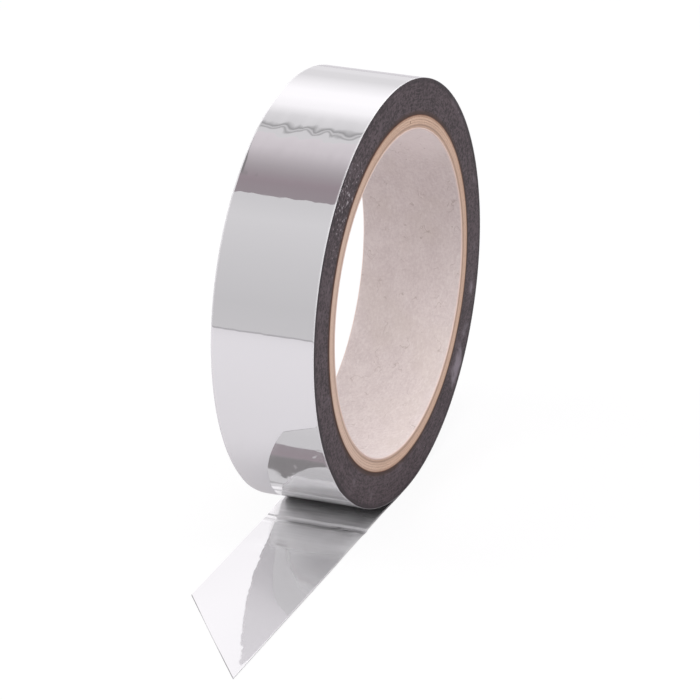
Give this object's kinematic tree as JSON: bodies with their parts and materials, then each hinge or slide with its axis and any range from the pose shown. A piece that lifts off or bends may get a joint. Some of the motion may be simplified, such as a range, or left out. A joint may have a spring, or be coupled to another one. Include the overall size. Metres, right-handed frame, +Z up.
{
  "type": "tape roll",
  "caption": "Roll of mirror-silver film tape on a spiral-wound paper core, standing on its rim with a creased free end pulled out, for sealing, bundling and repair.",
  "frame": {"origin": "centre of the core's bore, midway across the tape's width", "axes": "+Y along the roll's axis towards the side that the picture shows, +X the way the free end is pulled out, +Z up"},
  "size_m": [0.149, 0.025, 0.1],
  "materials": {
    "core_liner_paper": "matte",
    "core_board": "matte",
    "core_kraft": "matte",
    "wound_edge": "satin",
    "silver_film": "polished"
  },
  "bodies": {
    "roll": {"core_liner": "core_liner_paper", "core_ply_1": "core_board", "core_ply_2": "core_board", "core_ply_3": "core_board", "core_ply_4": "core_board", "core_wrap": "core_kraft", "tape_pack": "wound_edge"},
    "outer_wrap": {"outer_turn": "silver_film"},
    "free_end": {"tail": "silver_film"}
  },
  "joints": [
    {"name": "tape_unwind", "type": "hinge", "parent": "roll", "child": "outer_wrap", "pos_m": [0, 0, 0], "axis": [0, 1, 0], "continuous": true},
    {"name": "tail_lift", "type": "hinge", "parent": "outer_wrap", "child": "free_end", "pos_m": [0.024, 0, -0.04995], "axis": [0, -1, 0], "range_deg": [-90, 45]}
  ]
}
